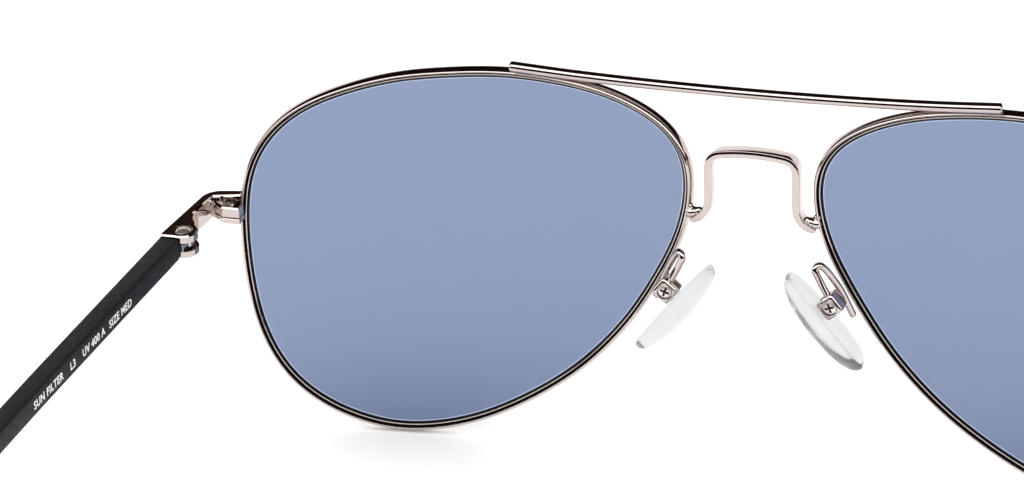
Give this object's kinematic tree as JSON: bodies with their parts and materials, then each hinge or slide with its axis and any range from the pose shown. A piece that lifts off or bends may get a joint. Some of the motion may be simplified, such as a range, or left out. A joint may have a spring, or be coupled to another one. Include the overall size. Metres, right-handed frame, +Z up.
{
  "type": "aviator sunglasses",
  "caption": "Folding aviator sunglasses: double-bridge wire frame, tinted lenses, screw-on clear nose pads and hinged sleeved temples.",
  "frame": {"origin": "middle of the open pair's footprint, on the surface that the rims' lower edges and the temple tips stand on", "axes": "+Z up, +Y from the lenses towards the wearer's ears, +X to the wearer's left"},
  "size_m": [0.1494, 0.1478, 0.0503],
  "materials": {
    "polished_metal": "polished",
    "tinted_lens": "gloss",
    "clear_silicone": "gloss",
    "black_sleeve": "matte",
    "screw_steel": "satin",
    "core_steel": "satin"
  },
  "bodies": {
    "frame": {"left_rim": "polished_metal", "right_rim": "polished_metal", "left_lens": "tinted_lens", "right_lens": "tinted_lens", "top_bar": "polished_metal", "bridge": "polished_metal", "left_pad_arm": "polished_metal", "right_pad_arm": "polished_metal", "left_pad_screw": "screw_steel", "right_pad_screw": "screw_steel", "left_end_piece": "polished_metal", "right_end_piece": "polished_metal", "left_rim_lock_plate": "polished_metal", "right_rim_lock_plate": "polished_metal", "left_rim_lock_screw": "screw_steel", "right_rim_lock_screw": "screw_steel", "left_hinge_screw": "screw_steel", "right_hinge_screw": "screw_steel"},
    "left_temple": {"left_temple_hinge": "polished_metal", "left_temple_core": "core_steel", "left_temple_sleeve": "black_sleeve"},
    "right_temple": {"right_temple_hinge": "polished_metal", "right_temple_core": "core_steel", "right_temple_sleeve": "black_sleeve"},
    "left_pad": {"left_nose_pad": "clear_silicone"},
    "right_pad": {"right_nose_pad": "clear_silicone"}
  },
  "joints": [
    {"name": "left_temple_fold", "type": "hinge", "parent": "frame", "child": "left_temple", "pos_m": [0.0689, -0.0584, 0.02782], "axis": [0, 0.0506, 0.9987], "range_deg": [0, 92]},
    {"name": "right_temple_fold", "type": "hinge", "parent": "frame", "child": "right_temple", "pos_m": [-0.0689, -0.0584, 0.02782], "axis": [0, -0.0506, -0.9987], "range_deg": [0, 87]},
    {"name": "left_pad_rock", "type": "hinge", "parent": "frame", "child": "left_pad", "pos_m": [0.0102, -0.06754, 0.0236], "axis": [0, 0.9994, 0.0349], "range_deg": [-10, 10]},
    {"name": "right_pad_rock", "type": "hinge", "parent": "frame", "child": "right_pad", "pos_m": [-0.0102, -0.06754, 0.0236], "axis": [0, 0.9994, 0.0349], "range_deg": [-10, 10]}
  ]
}
